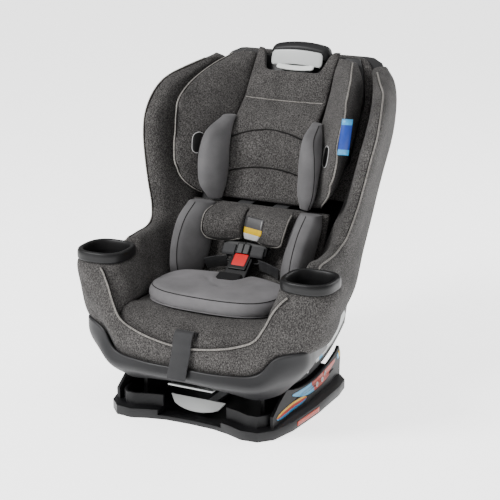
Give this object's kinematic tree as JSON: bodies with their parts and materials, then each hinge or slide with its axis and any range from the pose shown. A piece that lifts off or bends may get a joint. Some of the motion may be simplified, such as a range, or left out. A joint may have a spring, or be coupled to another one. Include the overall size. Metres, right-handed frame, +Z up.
{
  "type": "convertible car seat",
  "caption": "Reclining convertible child car seat with a padded bucket, height-adjustable winged headrest, harness, cup holders and sliding leg rest on a rocker base.",
  "frame": {"origin": "middle of the base's flat underside, on the floor plane, below the middle of the recline cradle", "axes": "+Z up, -Y towards the front of the seat, +X towards the seated child's left"},
  "size_m": [0.5204, 0.5617, 0.637],
  "materials": {
    "black_plastic": "satin moulded polypropylene",
    "grey_plastic": "fine-grained polypropylene",
    "silver_plastic": "satin light grey plastic",
    "red_plastic": "smooth red plastic",
    "heather_fabric": "heather grey knitted polyester over thin foam",
    "smooth_fabric": "smooth grey brushed polyester",
    "webbing": "woven polyester webbing",
    "foam": "energy-absorbing bead foam",
    "steel": "zinc-plated steel",
    "rubber": "soft black rubber"
  },
  "bodies": {
    "base": {"base_shell": "black_plastic", "foot_pad_front_left": "rubber", "foot_pad_front_right": "rubber", "foot_pad_rear_left": "rubber", "foot_pad_rear_right": "rubber", "latch_bracket": "steel", "recline_spring": "steel"},
    "recline_lever": {"recline_handle": "silver_plastic", "latch_bar": "steel"},
    "seat": {"seat_shell": "black_plastic", "recline_sector": "steel", "seat_foam": "foam", "seat_cover": "heather_fabric", "back_cover": "heather_fabric", "wing_cover_left": "heather_fabric", "wing_cover_right": "heather_fabric", "arm_cover_left": "heather_fabric", "arm_cover_right": "heather_fabric", "insert_cushion": "smooth_fabric", "torso_pad_left": "smooth_fabric", "torso_pad_right": "smooth_fabric", "harness_strap_left": "webbing", "harness_strap_right": "webbing", "lap_strap_left": "webbing", "lap_strap_right": "webbing", "shoulder_cover_left": "heather_fabric", "shoulder_cover_right": "heather_fabric", "buckle_housing": "black_plastic", "buckle_tongue_left": "steel", "buckle_tongue_right": "steel", "crotch_strap": "webbing", "adjuster_housing": "black_plastic", "adjuster_strap": "webbing", "rail_guide_left": "black_plastic", "rail_guide_right": "black_plastic", "frame_bar_left": "steel", "frame_bar_right": "steel", "frame_crossbar": "steel", "rear_cover": "black_plastic", "tether_anchor": "steel", "level_window": "silver_plastic"},
    "chest_clip_left": {"chest_clip_left": "black_plastic"},
    "chest_clip_right": {"chest_clip_right": "black_plastic"},
    "buckle_release": {"buckle_button": "red_plastic"},
    "extension": {"extension_panel": "grey_plastic", "extension_rail_left": "steel", "extension_rail_right": "steel"},
    "extension_latch": {"extension_release": "silver_plastic"},
    "headrest": {"headrest_shell": "black_plastic", "headrest_foam": "foam", "headrest_panel": "heather_fabric", "headrest_wing_left": "heather_fabric", "headrest_wing_right": "heather_fabric", "head_pad_left": "smooth_fabric", "head_pad_right": "smooth_fabric", "headrest_carriage": "steel"},
    "headrest_release": {"headrest_handle": "silver_plastic"},
    "cup_left": {"cup_holder_left": "black_plastic"},
    "cup_right": {"cup_holder_right": "black_plastic"}
  },
  "joints": [
    {"name": "seat_recline", "type": "hinge", "parent": "base", "child": "seat", "pos_m": [0, 0.035, 0.369], "axis": [1, 0, 0], "range_deg": [-14, 3]},
    {"name": "recline_lever_pull", "type": "slide", "parent": "base", "child": "recline_lever", "axis": [0, -1, 0], "range_m": [0, 0.012], "stiffness_N_per_m": 800},
    {"name": "extension_slide", "type": "slide", "parent": "seat", "child": "extension", "axis": [0, -1, 0], "range_m": [0, 0.12]},
    {"name": "extension_release_pull", "type": "slide", "parent": "extension", "child": "extension_latch", "axis": [0, -1, 0], "range_m": [0, 0.004], "stiffness_N_per_m": 600},
    {"name": "headrest_height", "type": "slide", "parent": "seat", "child": "headrest", "axis": [0, 0.49, 0.8717], "range_m": [0, 0.15]},
    {"name": "headrest_release_squeeze", "type": "slide", "parent": "headrest", "child": "headrest_release", "axis": [0, 0.49, 0.8717], "range_m": [0, 0.006], "stiffness_N_per_m": 500},
    {"name": "buckle_button_press", "type": "slide", "parent": "seat", "child": "buckle_release", "axis": [0, 0.592, -0.806], "range_m": [0, 0.0022], "stiffness_N_per_m": 1500},
    {"name": "chest_clip_left_part", "type": "slide", "parent": "seat", "child": "chest_clip_left", "axis": [1, 0, 0], "range_m": [0, 0.012]},
    {"name": "chest_clip_right_part", "type": "slide", "parent": "seat", "child": "chest_clip_right", "axis": [-1, 0, 0], "range_m": [0, 0.012]},
    {"name": "cup_left_lift", "type": "slide", "parent": "seat", "child": "cup_left", "axis": [0, 0, 1], "range_m": [0, 0.12]},
    {"name": "cup_right_lift", "type": "slide", "parent": "seat", "child": "cup_right", "axis": [0, 0, 1], "range_m": [0, 0.12]}
  ]
}
